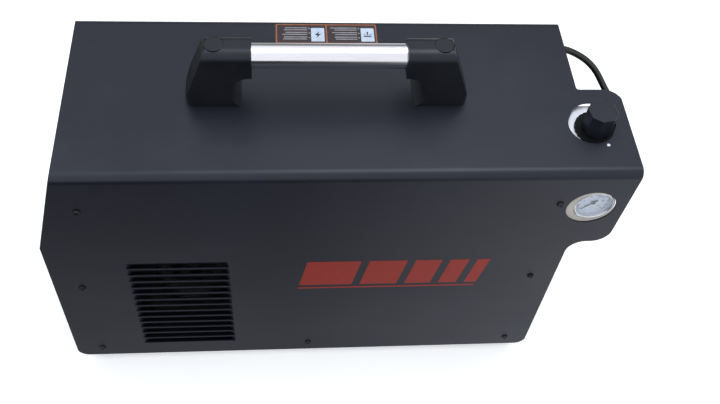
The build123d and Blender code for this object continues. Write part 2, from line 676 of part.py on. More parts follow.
def fan_frame():
    """Square fan housing with a round duct, a motor boss and four struts."""
    square = Pos(FAN_Y, FAN_Z) * RectangleRounded(2 * FAN_HALF, 2 * FAN_HALF, 6)
    frame = along_x(square, FAN_BACK - FAN_DEPTH, FAN_BACK)
    frame -= rod_x(FAN_BORE, 0, 600, FAN_Y, FAN_Z)
    rim = rod_x(FAN_HALF + 3, FAN_BACK - FAN_DEPTH + 5, FAN_BACK - 5, FAN_Y, FAN_Z)
    frame -= along_x(square, FAN_BACK - FAN_DEPTH + 5, FAN_BACK - 5) - rim
    x0 = FAN_BACK - FAN_DEPTH
    frame += rod_x(21, x0, x0 + 7, FAN_Y, FAN_Z)
    strut = along_x(Pos(39, 0) * Rectangle(38, 5), x0, x0 + 5)
    frame += [Pos(0, FAN_Y, FAN_Z) * Rot(45 + 90 * k, 0, 0) * strut for k in range(4)]
    frame += rod_x(4, x0 + 6, x0 + 22, FAN_Y, FAN_Z)
    return frame - fan_corners(2.2, 0, 600)


def fan_rotor():
    """Hub and seven pitched blades, open behind for the motor."""
    x0 = FAN_BACK - FAN_DEPTH + 9
    hub = rod_x(20, x0, x0 + 24, 0, 0) - rod_x(4.06, x0 - 1, x0 + 14, 0, 0)
    blade = Pos(x0 + 12, 0, 36) * Rot(0, 0, 38) * Box(30, 1.6, 37)
    limit = rod_x(55.5, x0, x0 + 24, 0, 0) - rod_x(19.5, x0 - 1, x0 + 25, 0, 0)
    blades = [Rot(360 / 7 * k, 0, 0) * (blade & limit) for k in range(7)]
    return Pos(0, FAN_Y, FAN_Z) * (hub + blades)


def fan_guard():
    """Wire guard outside the panel: rings, spokes and four fixing eyes."""
    x = REAR_X + 2.2
    guard = [
        Pos(x, FAN_Y, FAN_Z) * Rot(0, 90, 0) * Torus(radius, 1.1) for radius in (14, 26, 38, 50)
    ]
    spokes = [
        Pos(x + 1.2, FAN_Y, FAN_Z) * Rot(45 + 90 * k, 0, 0) * Pos(0, 0, 43) * Cylinder(1.1, 60)
        for k in range(4)
    ]
    eyes = fan_corners(4.5, REAR_X + 0.05, x + 2.3)
    solid = guard[0] + guard[1:] + spokes + eyes
    return solid - fan_corners(2.2, 0, 600)


def earth_stud():
    """Earthing bolt with washer and nut on the rear panel."""
    stud = rod_x(3, REAR_X - 10, REAR_X + 14, EARTH_Y, EARTH_Z)
    stud += rod_x(7, REAR_X + 0.05, REAR_X + 1.6, EARTH_Y, EARTH_Z)
    stud += hex_x(10, REAR_X + 1.6, REAR_X + 6.6, EARTH_Y, EARTH_Z)
    return stud + hex_x(10, REAR_X - 7, REAR_X - SHEET - 0.05, EARTH_Y, EARTH_Z)


# ---------------------------------------------------------------- front controls


def current_knob():
    """Ribbed knob with a white pointer line and a bored boss."""
    knob = Pos(0, 0, 10.5) * Cylinder(14, 18) + Pos(0, 0, 3) * Cylinder(17, 3)
    knob = chamfer(knob.faces().sort_by(Axis.Z)[-1].edges(), 1.5)
    knob -= Pos(0, 0, 13) * PolarLocations(14.8, 18) * Cylinder(1.6, 16)
    knob -= Pos(0, 0, 5) * Cylinder(3.06, 22)
    knob -= Pos(0, 10, 19.5) * Box(1.4, 9, 1.2)
    return slanted(*KNOB_UV) * knob


def potentiometer():
    """Rotary control with its threaded bush and nut; the knob turns on its 6 mm shaft."""
    pot = Pos(0, 0, -9) * Cylinder(12, 12) + Pos(0, 0, -1.5) * Cylinder(3.9, 6)
    pot += Pos(0, 0, 5) * Cylinder(3, 16)
    return slanted(*KNOB_UV) * pot


def display_window():
    """Framed smoked window over the current readout."""
    bezel = Pos(0, 0, 1.1) * Box(64, 32, 2) + Pos(0, 0, -5) * Box(58, 26, 12)
    bezel = bezel - Pos(0, 0, 2) * Box(52, 20, 3)
    return slanted(*DISPLAY_UV) * bezel


def display_glass():
    """Smoked pane in the display's frame."""
    return slanted(*DISPLAY_UV) * Pos(0, 0, 1.1) * Box(51.6, 19.6, 1)


def indicator_lamps():
    """Three domed lamps in a row."""
    lamp = Pos(0, 0, -3) * Cylinder(4, 8.2) + Pos(0, 0, 1) * Sphere(4)
    return group([slanted(*uv) * lamp for uv in LAMPS_UV])


ROCKER_TILT = 10.0
PIN_W = -1.0


def test_rocker():
    """Rocker that tips about a pin across the switch."""
    face = outline((-10.8, 4.2), (0, 2.6), (10.8, 4.2), (9, -3), (-9, -3))
    rocker = along_y(face, -7.3, 7.3) - rod_y(1.06, -8, 8, 0, PIN_W)
    about_pin = Pos(0, 0, PIN_W) * Rot(0, ROCKER_TILT, 0) * Pos(0, 0, -PIN_W)
    return slanted(*TEST_UV) * about_pin * rocker


def torch_connector():
    """Brass gas-and-current socket for the torch, in its insulating flange."""
    socket = rod_x(13, PANEL_X2 - 20, PANEL_X2 + 18, TORCH_Y, CONNECTOR_Z)
    socket -= rod_x(8, PANEL_X2 - 21, PANEL_X2 - 4, TORCH_Y, CONNECTOR_Z)
    return socket - rod_x(4, PANEL_X2 - 25, PANEL_X2 + 25, TORCH_Y, CONNECTOR_Z)


def torch_flange():
    """Insulating collar round the torch socket."""
    flange = rod_x(22, PANEL_X2 - 8, PANEL_X2 - 0.1, TORCH_Y, CONNECTOR_Z)
    return flange - rod_x(13.1, -60, 0, TORCH_Y, CONNECTOR_Z)


def trigger_socket():
    """Small round socket for the torch trigger's lead."""
    socket = rod_x(9, PANEL_X2 - 9, PANEL_X2 + 12, TRIGGER_Y, CONNECTOR_Z)
    socket += hex_x(23, PANEL_X2 - 4, PANEL_X2 - 0.1, TRIGGER_Y, CONNECTOR_Z)
    socket -= rod_x(6.8, PANEL_X2 - 10, PANEL_X2 - 1, TRIGGER_Y, CONNECTOR_Z)
    pins = [rod_x(1.2, PANEL_X2 - 7, PANEL_X2, TRIGGER_Y + side * 3, CONNECTOR_Z) for side in (-1, 1)]
    return socket + pins


def work_socket():
    """Keyed panel socket for the work lead."""
    socket = rod_x(16, PANEL_X2 - 14, PANEL_X2 + 16, WORK_Y, CONNECTOR_Z)
    socket += rod_x(21, PANEL_X2 - 6, PANEL_X2 - 0.1, WORK_Y, CONNECTOR_Z)
    socket -= rod_x(6.6, PANEL_X2 - 15, PANEL_X2 + 10, WORK_Y, CONNECTOR_Z)
    key = block(PANEL_X2 - 15, PANEL_X2 + 10, WORK_Y - 2, WORK_Y + 2, CONNECTOR_Z + 5, CONNECTOR_Z + 9.5)
    return socket - key


# ---------------------------------------------------------------- inside

SINK_X0 = 215.0
SINK_X1 = 445.0
SINK_TOP = -255.0
SINK_LOW = -362.0
BOARD_Z = -240.0
CORE_X = (352.0, 432.0)
CORE_Y = (64.0, 164.0)
CORE_WINDOWS = ((78.0, 101.0), (127.0, 150.0))
CORE_LOW = BOARD_Z + 2.1


def heatsinks():
    """Two finned aluminium heatsinks side by side in the air stream."""
    sinks = []
    for y0, y1 in ((24, 104), (125, 205)):
        sink = block(SINK_X0, SINK_X1, y0, y1, SINK_TOP - 9, SINK_TOP)
        fins = [block(SINK_X0, SINK_X1, y0 + 8.2 * k, y0 + 8.2 * k + 2.2, SINK_LOW, SINK_TOP - 8) for k in range(10)]
        feet = block(SINK_X0, SINK_X1, y0, y0 + 2.2, -HEIGHT + SHEET + 0.1, SINK_LOW)
        sinks.append(sink + fins + feet)
    return group(sinks)


def power_modules():
    """Transistor and rectifier modules clamped between heatsinks and board."""
    module = Box(60, 30, 14) + Pos(0, 0, -5) * Box(90, 30, 4)
    places = [(x, y) for x in (275, 385) for y in (64, 165)]
    return group([Pos(x, y, SINK_TOP + 7.1) * module for x, y in places])


def power_board():
    """Main circuit board with holes for its spacers."""
    return block(205, 455, 20, WIDTH - 20, BOARD_Z, BOARD_Z + 2)


def bus_capacitors():
    """Four large can capacitors on the main board."""
    can = Cylinder(17.5, 50)
    can = fillet(can.faces().sort_by(Axis.Z)[-1].edges(), 2)
    return group([Pos(x, y, BOARD_Z + 27.1) * can for x in (240, 285) for y in (70, 159)])


VALVE_X = 478.0
VALVE_Z = INLET_Z


def valve_body():
    """Brass body of the air solenoid valve, on the inlet's line."""
    body = block(VALVE_X - 14, VALVE_X + 14, INLET_Y - 12, INLET_Y + 12, VALVE_Z - 12, VALVE_Z + 12)
    body += rod_x(5, VALVE_X + 14, REAR_X - 24.1, INLET_Y, VALVE_Z)
    body += rod_z(6, VALVE_Z - 46, VALVE_Z - 12, VALVE_X, INLET_Y)
    body -= rod_z(4.06, VALVE_Z - 44, VALVE_Z - 4, VALVE_X, INLET_Y)
    return body - rod_x(2.5, VALVE_X - 5, REAR_X, INLET_Y, VALVE_Z)


def valve_coil():
    """Potted coil round the valve's guide tube."""
    coil = block(VALVE_X - 15, VALVE_X + 15, INLET_Y - 15, INLET_Y + 15, VALVE_Z - 42, VALVE_Z - 12.3)
    coil += block(VALVE_X - 24, VALVE_X - 15, INLET_Y - 8, INLET_Y + 8, VALVE_Z - 34, VALVE_Z - 20)
    return coil - rod_z(6.15, VALVE_Z - 50, VALVE_Z, VALVE_X, INLET_Y)


def valve_plunger():
    """Iron plunger that lifts off its seat in the guide tube."""
    return rod_z(4, VALVE_Z - 36, VALVE_Z - 10, VALVE_X, INLET_Y)


def gas_pipe():
    """Metal pipe from the valve forward and down to the torch socket."""
    start = (VALVE_X - 14.1, INLET_Y, VALVE_Z)
    corner = (200.0, INLET_Y, VALVE_Z)
    low = (200.0, INLET_Y, -140.0)
    front = (24.0, INLET_Y, -235.0)
    down = (24.0, INLET_Y, CONNECTOR_Z)
    across = (24.0, TORCH_Y, CONNECTOR_Z)
    end = (PANEL_X2 + 18.1, TORCH_Y, CONNECTOR_Z)
    path = FilletPolyline(start, corner, low, front, down, across, end, radius=12)
    pipe = sweep((path ^ 0) * Circle(3), path=path)
    return pipe - sweep((path ^ 0) * Circle(2), path=path)


def control_board():
    """Logic board behind the slanted panel, carried by the controls soldered to it."""
    return slanted(0, 2, -20.2) * Box(150, 92, 1.6)


def test_switch_body():
    """Frame of the gas-test rocker switch, with the pin that the rocker tips on."""
    body = Pos(0, 0, 1) * Box(32, 25, 2) + Pos(0, 0, -9.5) * Box(27, 20, 19)
    body -= Pos(0, 0, -1) * Box(23.4, 15.4, 14)
    body += Pos(0, 0, PIN_W) * Cylinder(1.0, 16, rotation=(90, 0, 0))
    return slanted(*TEST_UV) * body


def transformer_core():
    """Ferrite core of the main transformer: three limbs joined top and bottom."""
    core = block(*CORE_X, *CORE_Y, CORE_LOW, CORE_LOW + 70)
    for y0, y1 in CORE_WINDOWS:
        core -= block(CORE_X[0] - 1, CORE_X[1] + 1, y0, y1, CORE_LOW + 14, CORE_LOW + 56)
    return core


def transformer_winding():
    """Copper winding round the core's middle limb."""
    y0 = CORE_WINDOWS[0][0] + 1
    y1 = CORE_WINDOWS[1][1] - 1
    coil = block(CORE_X[0] - 16, CORE_X[1] + 16, y0, y1, CORE_LOW + 15, CORE_LOW + 55)
    coil = fillet(coil.edges().filter_by(Axis.Z), 10)
    limb = (CORE_WINDOWS[0][1] - 0.3, CORE_WINDOWS[1][0] + 0.3)
    return coil - block(CORE_X[0] - 0.3, CORE_X[1] + 0.3, *limb, CORE_LOW, CORE_LOW + 70)


def output_choke():
    """Ring choke potted onto its base block, on the floor behind the front panel."""
    floor = -HEIGHT + SHEET + 0.1
    ring = Pos(110, MID_Y, floor + 22) * Torus(38, 15)
    base = along_z(Pos(110, MID_Y) * RectangleRounded(116, 116, 12), floor, floor + 14)
    return ring + base + rod_z(8, floor, floor + 34, 110, MID_Y)


def machine_screws():
    """Screws of the fan, the regulator's bracket, the feet and the handle."""
    fan = zip(fan_corners(2, FAN_BACK - 37, REAR_X + 5), fan_corners(4, REAR_X + 4.6, REAR_X + 7))
    screws = [shank + head for shank, head in fan]
    for y, z in BRACKET_SCREWS:
        start = REAR_X + PLATE
        head = rod_x(3.5, start, start + 2.4, y, z) - hex_x(2.5, start + 1, start + 3, y, z)
        nut = hex_x(7, REAR_X - SHEET - 3, REAR_X - SHEET, y, z)
        screws.append(head + rod_x(2, REAR_X - 8, start, y, z) + nut)
    for x in FOOT_X:
        for y in FOOT_Y:
            shank = rod_z(2.5, -HEIGHT - 7.5, -HEIGHT + 9, x, y)
            nut = along_z(Pos(x, y) * RegularPolygon(4, 6), -HEIGHT + SHEET, -HEIGHT + SHEET + 4)
            screws.append(shank + rod_z(5, -HEIGHT - 9.7, -HEIGHT - 6.5, x, y) + nut)
    for side in (-1, 1):
        x = HANDLE_X + side * PLUG_X
        socket = along_z(Pos(x, MID_Y) * RegularPolygon(2.5, 6, major_radius=False), 15, 19)
        nut = along_z(Pos(x, MID_Y) * RegularPolygon(5, 6, major_radius=False), -SHEET - 6.4, -SHEET)
        screws.append(rod_z(5, 12, 18, x, MID_Y) - socket + rod_z(3, -12, 12, x, MID_Y) + nut)
    return group(screws)


BUILDERS = {
    "cover_shell": cover_shell,
    "cover_screws": cover_screws,
    "base_tray": base_tray,
    "front_panel": front_panel,
    "rear_panel": rear_panel,
    "rubber_feet": rubber_feet,
    "machine_screws": machine_screws,
    "handle_end_front": lambda: handle_end(-1),
    "handle_end_rear": lambda: handle_end(1),
    "handle_tube": handle_tube,
    "handle_plugs": handle_plugs,
    "regulator_bracket": regulator_bracket,
    "regulator_bonnet": regulator_bonnet,
    "regulator_ring_nut": ring_nut,
    "adjusting_screw": adjusting_screw,
    "regulator_knob": regulator_knob,
    "regulator_body": regulator_body,
    "gauge_case": gauge_case,
    "gauge_bezel": gauge_bezel,
    "gauge_dial": gauge_dial,
    "gauge_pointer": gauge_pointer,
    "gauge_lens": gauge_lens,
    "filter_bowl": filter_bowl,
    "bowl_guard": bowl_guard,
    "filter_element": filter_element,
    "drain_valve": drain_valve,
    "outlet_fitting": outlet_fitting,
    "bulkhead_fitting": bulkhead_fitting,
    "air_hose": air_hose,
    "inlet_nipple": inlet_nipple,
    "mains_gland": mains_gland,
    "breaker_body": breaker_body,
    "breaker_lever": breaker_lever,
    "fan_frame": fan_frame,
    "fan_rotor": fan_rotor,
    "fan_guard": fan_guard,
    "earth_stud": earth_stud,
    "current_knob": current_knob,
    "potentiometer": potentiometer,
    "display_window": display_window,
    "display_glass": display_glass,
    "indicator_lamps": indicator_lamps,
    "test_switch_body": test_switch_body,
    "test_rocker": test_rocker,
    "torch_connector": torch_connector,
    "torch_flange": torch_flange,
    "work_socket": work_socket,
    "trigger_socket": trigger_socket,
    "control_board": control_board,
    "heatsinks": heatsinks,
    "power_modules": power_modules,
    "power_board": power_board,
    "bus_capacitors": bus_capacitors,
    "transformer_core": transformer_core,
    "transformer_winding": transformer_winding,
    "output_choke": output_choke,
    "valve_body": valve_body,
    "valve_coil": valve_coil,
    "valve_plunger": valve_plunger,
    "gas_pipe": gas_pipe,
}

nodes = {name: build() for name, build in BUILDERS.items()}
boxes = [node.bounding_box() for node in nodes.values()]
low = Vector(*(min(getattr(box.min, axis) for box in boxes) for axis in "XYZ"))
high = Vector(*(max(getattr(box.max, axis) for box in boxes) for axis in "XYZ"))
ORIGIN = Vector((low.X + high.X) / 2, (low.Y + high.Y) / 2, low.Z)
print("origin in the modelling frame", ORIGIN, "size", high - low)
for name, node in nodes.items():
    moved = [Pos(-ORIGIN) * solid for solid in node.solids()]
    export_step(moved[0] if len(moved) == 1 else Compound(moved), f"parts/{name}.step")
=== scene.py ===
"""Looks for the plasma cutter unit: materials, printed details, the air hose, light and camera."""

import math
import random

import bmesh
import bpy
from mathutils import Matrix, Vector

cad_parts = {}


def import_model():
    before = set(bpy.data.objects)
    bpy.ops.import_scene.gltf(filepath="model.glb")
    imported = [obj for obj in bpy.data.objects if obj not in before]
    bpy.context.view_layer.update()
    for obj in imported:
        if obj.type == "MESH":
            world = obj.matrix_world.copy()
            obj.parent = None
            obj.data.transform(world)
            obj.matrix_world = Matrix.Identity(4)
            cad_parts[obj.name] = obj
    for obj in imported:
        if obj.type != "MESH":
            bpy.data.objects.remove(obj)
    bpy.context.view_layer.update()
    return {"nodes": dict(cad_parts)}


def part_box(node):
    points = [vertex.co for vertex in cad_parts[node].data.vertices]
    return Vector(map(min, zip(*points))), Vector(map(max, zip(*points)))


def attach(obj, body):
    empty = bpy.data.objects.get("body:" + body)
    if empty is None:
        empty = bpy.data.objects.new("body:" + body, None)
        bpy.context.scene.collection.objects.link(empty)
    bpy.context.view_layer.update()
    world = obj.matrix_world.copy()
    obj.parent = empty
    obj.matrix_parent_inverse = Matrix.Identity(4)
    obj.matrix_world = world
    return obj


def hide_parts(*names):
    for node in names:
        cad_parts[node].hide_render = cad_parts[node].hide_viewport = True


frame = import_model()
NODES = frame["nodes"]
COVER_LOW, COVER_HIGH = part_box("cover_shell")
NOSE_REACH = 0.035


def at(x, y, z):
    """Row-frame point from millimetres along x, y, z from the cover top's front corner on the gauge side."""
    return Vector((COVER_LOW.x + NOSE_REACH, COVER_LOW.y, COVER_HIGH.z)) + Vector((x, y, z)) / 1000


def axes(origin, u, v, w):
    """Matrix that takes millimetres along u, v and w to the row frame."""
    columns = [Vector(axis).normalized() / 1000 for axis in (u, v, w)]
    rows = [[columns[j][i] for j in range(3)] + [origin[i]] for i in range(3)]
    return Matrix(rows + [[0, 0, 0, 1]])


def map_range(tree, value, low, high, to_low, to_high):
    """Map Range node that takes low..high to to_low..to_high."""
    made = tree.nodes.new("ShaderNodeMapRange")
    tree.links.new(value, made.inputs["Value"])
    ends = {"From Min": low, "From Max": high, "To Min": to_low, "To Max": to_high}
    for socket, number in ends.items():
        made.inputs[socket].default_value = number
    return made.outputs["Result"]


# ---------------------------------------------------------------- materials


class Paint:
    """A Principled material and short calls for the nodes that drive it."""

    def __init__(self, name, **sockets):
        self.material = bpy.data.materials.new(name)
        self.material.use_nodes = True
        self.tree = self.material.node_tree
        self.shader = self.tree.nodes["Principled BSDF"]
        self.coords = self.node("ShaderNodeTexCoord").outputs["Object"]
        self.normal = None
        for socket, value in sockets.items():
            self.shader.inputs[socket.replace("_", " ")].default_value = value

    def node(self, kind, **inputs):
        made = self.tree.nodes.new(kind)
        for socket, value in inputs.items():
            self.set(made.inputs[socket.replace("_", " ")], value)
        return made

    def set(self, socket, value):
        if isinstance(value, bpy.types.NodeSocket):
            self.tree.links.new(value, socket)
        else:
            socket.default_value = value

    def stretched(self, stretch):
        if stretch == (1, 1, 1):
            return self.coords
        return self.node("ShaderNodeMapping", Vector=self.coords, Scale=stretch).outputs["Vector"]

    def noise(self, scale, detail=2.0, rough=0.5, stretch=(1, 1, 1)):
        made = self.node(
            "ShaderNodeTexNoise", Vector=self.stretched(stretch), Scale=scale, Detail=detail, Roughness=rough
        )
        return made.outputs["Fac"]

    def cells(self, scale):
        return self.node("ShaderNodeTexVoronoi", Vector=self.coords, Scale=scale).outputs["Distance"]

    def spread(self, value, low, high, to_low=0.0, to_high=1.0):
        return map_range(self.tree, value, low, high, to_low, to_high)

    def math(self, operation, a, b):
        made = self.node("ShaderNodeMath")
        made.operation = operation
        self.set(made.inputs[0], a)
        self.set(made.inputs[1], b)
        return made.outputs["Value"]

    def mix(self, factor, a, b):
        made = self.tree.nodes.new("ShaderNodeMix")
        made.data_type = "RGBA"
        self.set(made.inputs["Factor"], factor)
        for socket, colour in ((made.inputs[6], a), (made.inputs[7], b)):
            self.set(socket, colour if isinstance(colour, bpy.types.NodeSocket) else (*colour, 1.0))
        return made.outputs[2]

    def soften(self, radius):
        made = self.node("ShaderNodeBevel", Radius=radius)
        made.samples = 4
        self.normal = made.outputs["Normal"]

    def bump(self, height, depth, strength=1.0):
        made = self.node("ShaderNodeBump", Height=height, Distance=depth, Strength=strength)
        if self.normal is not None:
            self.set(made.inputs["Normal"], self.normal)
        self.normal = made.outputs["Normal"]

    def done(self, colour=None, rough=None):
        if colour is not None:
            self.set(self.shader.inputs["Base Color"], colour)
        if rough is not None:
            self.set(self.shader.inputs["Roughness"], rough)
        if self.normal is not None:
            self.set(self.shader.inputs["Normal"], self.normal)
        return self.material


def moulded(name, dark, light, rough, grain=1400, depth=0.00003, **sockets):
    """Moulded plastic or rubber: fine spark-eroded grain, faint handling marks."""
    paint = Paint(name, **sockets)
    tone = paint.spread(paint.noise(38, 3), 0.3, 0.7)
    paint.soften(0.0006)
    paint.bump(paint.cells(grain), depth)
    paint.bump(paint.noise(120, 2), depth * 2)
    marks = paint.spread(paint.noise(16, 4, 0.6), 0.3, 0.75, rough - 0.07, rough + 0.09)
    return paint.done(paint.mix(tone, dark, light), marks)


def metal(name, dark, light, rough, stretch=(1, 1, 1), scale=160, depth=0.00002, **sockets):
    """Machined, drawn or cast metal; stretch draws the noise out into tool lines."""
    paint = Paint(name, Metallic=1.0, **sockets)
    lines = paint.noise(scale, 3, 0.6, stretch)
    stain = paint.spread(paint.noise(22, 3), 0.35, 0.75)
    paint.soften(0.0004)
    paint.bump(lines, depth)
    worn = paint.spread(lines, 0.25, 0.75, rough * 0.75, rough * 1.35)
    return paint.done(paint.mix(stain, light, dark), worn)


def powder_coat():
    """Satin black-grey powder coat: orange peel, metallic flecks, wipe marks and a little dust on top."""
    # The cool specular tint is painted reflection colour, standing in for the bluish room light the coat mirrors.
    paint = Paint("powder_coat", Specular_IOR_Level=0.50, Specular_Tint=(0.80, 0.87, 1.0, 1.0))
    broad = paint.spread(paint.noise(5.5, 4, 0.55), 0.35, 0.7)
    colour = paint.mix(broad, (0.0060, 0.0066, 0.0130), (0.0092, 0.0100, 0.0185))
    fleck = paint.spread(paint.cells(620), 0.10, 0.04)
    colour = paint.mix(paint.math("MULTIPLY", fleck, 0.55), colour, (0.055, 0.060, 0.080))
    geometry = paint.node("ShaderNodeNewGeometry")
    up = paint.node("ShaderNodeSeparateXYZ", Vector=geometry.outputs["Normal"]).outputs["Z"]
    upward = paint.spread(up, 0.7, 0.95)
    specks = paint.node("ShaderNodeTexVoronoi", Vector=paint.coords, Scale=24, Randomness=1.0)
    near = paint.spread(specks.outputs["Distance"], 0.036, 0.020)
    chosen = paint.node("ShaderNodeSeparateColor", Color=specks.outputs["Color"]).outputs["Red"]
    dust = paint.math("MULTIPLY", near, paint.spread(chosen, 0.86, 0.88))
    dust = paint.math("MULTIPLY", dust, upward)
    colour = paint.mix(dust, colour, (0.50, 0.52, 0.58))
    film = paint.math("MULTIPLY", paint.spread(paint.noise(7, 5, 0.65), 0.50, 0.80), upward)
    colour = paint.mix(paint.math("MULTIPLY", film, 0.05), colour, (0.16, 0.17, 0.20))
    paint.soften(0.0007)
    paint.bump(paint.noise(520, 2, 0.5), 0.00004)
    paint.bump(paint.noise(1900, 1, 0.5), 0.00001)
    wiped = paint.noise(9, 4, 0.6, (0.35, 1.6, 1.0))
    return paint.done(colour, paint.spread(wiped, 0.3, 0.75, 0.34, 0.46))


def drawn_chrome():
    """Bright drawn tube: fine lines along its length, polished enough to carry long reflections."""
    paint = Paint("chrome_tube", Metallic=1.0)
    lines = paint.noise(60, 3, 0.65, (0.6, 30, 30))
    tone = paint.spread(lines, 0.3, 0.7)
    smear = paint.spread(paint.noise(26, 4, 0.6), 0.45, 0.8)
    paint.bump(lines, 0.000012)
    along = paint.spread(lines, 0.3, 0.7, 0.10, 0.19)
    rough = paint.math("ADD", along, paint.math("MULTIPLY", smear, 0.07))
    return paint.done(paint.mix(tone, (0.80, 0.79, 0.85), (0.93, 0.92, 0.96)), rough)


def zinc():
    """Bright zinc plate with soft spangle."""
    paint = Paint("zinc_sheet", Metallic=0.55)
    spangle = paint.node("ShaderNodeTexVoronoi", Vector=paint.coords, Scale=130)
    tone = paint.node("ShaderNodeSeparateColor", Color=spangle.outputs["Color"]).outputs["Green"]
    paint.soften(0.0004)
    paint.bump(paint.noise(700, 2), 0.00001)
    colour = paint.mix(tone, (0.74, 0.79, 0.88), (0.84, 0.88, 0.95))
    return paint.done(colour, paint.spread(tone, 0.0, 1.0, 0.36, 0.46))


def clear(name, tint, alpha, rough=0.04):
    """Clear window: a thin see-through skin that keeps its gloss, with faint scratches."""
    paint = Paint(name, Alpha=alpha, Coat_Weight=0.6)
    scratch = paint.noise(70, 4, 0.7, (1, 8, 1))
    paint.bump(scratch, 0.000004)
    dust = paint.spread(paint.noise(240, 3), 0.55, 0.8)
    bright = tuple(min(1.0, channel * 1.15) for channel in tint)
    return paint.done(paint.mix(dust, tint, bright), paint.spread(scratch, 0.3, 0.8, rough, rough + 0.08))


def printed(name, dark, light, rough=0.45, **sockets):
    """Screen-printed ink: slight mottling, edge of the mesh in the ink's surface."""
    paint = Paint(name, **sockets)
    mottle = paint.spread(paint.noise(140, 4, 0.6), 0.35, 0.7)
    paint.bump(paint.noise(900, 2), 0.000012)
    return paint.done(paint.mix(mottle, dark, light), paint.spread(mottle, 0, 1, rough - 0.06, rough + 0.08))


def circuit_board(name):
    """Green solder mask with copper tracks under it."""
    paint = Paint(name)
    brick = paint.node("ShaderNodeTexBrick", Vector=paint.coords, Scale=90)
    brick.inputs["Mortar Size"].default_value = 0.06
    track = brick.outputs["Fac"]
    paint.bump(track, 0.00003)
    colour = paint.mix(track, (0.010, 0.075, 0.030), (0.030, 0.16, 0.060))
    return paint.done(colour, paint.spread(track, 0, 1, 0.35, 0.5))


def wound_copper():
    """Enamelled copper wire laid turn by turn."""
    paint = Paint("copper_winding", Metallic=0.9)
    wave = paint.node("ShaderNodeTexWave", Vector=paint.coords, Scale=300, Distortion=0.4)
    wave.bands_direction = "Z"
    turn = wave.outputs["Fac"]
    paint.bump(turn, 0.0003)
    colour = paint.mix(turn, (0.20, 0.06, 0.02), (0.62, 0.26, 0.10))
    return paint.done(colour, paint.spread(turn, 0, 1, 0.42, 0.26))


# Cool tint on the reflections of the black plastics: painted reflection colour, standing in for the bluish room
# light they mirror.
COOL_PAINTED_REFLECTION = (0.80, 0.87, 1.0, 1.0)
BLACK = moulded("black_plastic", (0.006, 0.0065, 0.008), (0.011, 0.0115, 0.014), 0.42)
KNOB_BLACK = moulded(
    "knob_plastic", (0.0055, 0.0060, 0.0115), (0.0090, 0.0100, 0.0170),
    0.38, 900, Specular_Tint=COOL_PAINTED_REFLECTION,
)
# The ring nut's plastic is darker and duller than the other black plastics: painted shade where the regulator knob
# shades it.
NUT_SHADED_BLACK = moulded(
    "nut_plastic_painted_shade", (0.0015, 0.0016, 0.0022), (0.0035, 0.0036, 0.0045),
    0.5, 900, Specular_IOR_Level=0.15,
)
HANDLE = moulded(
    "handle_plastic", (0.0035, 0.0042, 0.006), (0.0070, 0.0078, 0.010),
    0.42, 1100, 0.00004, Specular_Tint=COOL_PAINTED_REFLECTION,
)
PLUG = moulded(
    "plug_plastic", (0.004, 0.0046, 0.0065), (0.0075, 0.0085, 0.011),
    0.36, 1100, Specular_Tint=COOL_PAINTED_REFLECTION,
)
# Seam plastic: a darker, duller copy of the plug plastic, painted shade in the gap round each plug.
PLUG_SEAM_SHADE = moulded(
    "plug_seam_painted_shade", (0.0015, 0.0015, 0.002), (0.003, 0.003, 0.004),
    0.6, 1100, Specular_IOR_Level=0.1,
)
RUBBER = moulded("rubber", (0.010, 0.010, 0.010), (0.020, 0.020, 0.019), 0.72, 700, 0.00005)
GLOSS = moulded("switch_black", (0.006, 0.006, 0.007), (0.010, 0.010, 0.012), 0.20, 2600, 0.000008)
EPOXY = moulded("potting", (0.010, 0.010, 0.011), (0.022, 0.021, 0.021), 0.55, 500)
SINTERED = moulded("sintered", (0.50, 0.47, 0.42), (0.66, 0.63, 0.57), 0.85, 1600, 0.0001)
FERRITE = moulded("ferrite", (0.020, 0.020, 0.023), (0.038, 0.038, 0.041), 0.65, 900)
SLEEVE = moulded("capacitor_sleeve", (0.006, 0.016, 0.050), (0.010, 0.026, 0.075), 0.28, 2000)
HOSE = moulded(
    "hose_skin", (0.0050, 0.0052, 0.0050), (0.0100, 0.0105, 0.0100),
    0.30, 1500, 0.000015, Coat_Weight=0.25,
)
COAT = powder_coat()
CHROME = drawn_chrome()
ZINC = zinc()
SCREW = metal("black_screw", (0.018, 0.018, 0.021), (0.045, 0.045, 0.050), 0.30)
STEEL = metal("steel", (0.36, 0.36, 0.38), (0.60, 0.60, 0.62), 0.30)
RIM = metal("gauge_steel", (0.70, 0.72, 0.76), (0.90, 0.91, 0.94), 0.13, depth=0.000006)
CAST = metal("cast_alloy", (0.30, 0.31, 0.33), (0.48, 0.49, 0.51), 0.48, scale=420, depth=0.00012)
BRASS = metal("brass", (0.42, 0.27, 0.10), (0.72, 0.52, 0.23), 0.24, (1, 1, 1), 260)
HEATSINK = metal("heatsink", (0.45, 0.45, 0.47), (0.68, 0.68, 0.70), 0.36, (0.3, 12, 12), 90)
DIAL = printed("dial_white", (0.68, 0.76, 0.90), (0.78, 0.85, 0.96), 0.38)
POINTER = printed("pointer_black", (0.006, 0.006, 0.008), (0.014, 0.014, 0.017), 0.4)
INK_BLACK = printed("ink_black", (0.012, 0.014, 0.020), (0.022, 0.024, 0.032), 0.5)
INK_WHITE = printed("ink_white", (0.62, 0.63, 0.65), (0.74, 0.75, 0.77), 0.5)
INK_RED = printed("ink_red", (0.27, 0.024, 0.016), (0.34, 0.034, 0.024), 0.50, Specular_IOR_Level=0.3)
LABEL_EDGE = printed("label_orange", (0.27, 0.085, 0.035), (0.36, 0.125, 0.055), 0.46)
LABEL_FIELD = printed("label_field", (0.022, 0.014, 0.017), (0.034, 0.022, 0.026), 0.44)
LABEL_GREY = printed("label_grey", (0.22, 0.22, 0.25), (0.32, 0.32, 0.36), 0.45)
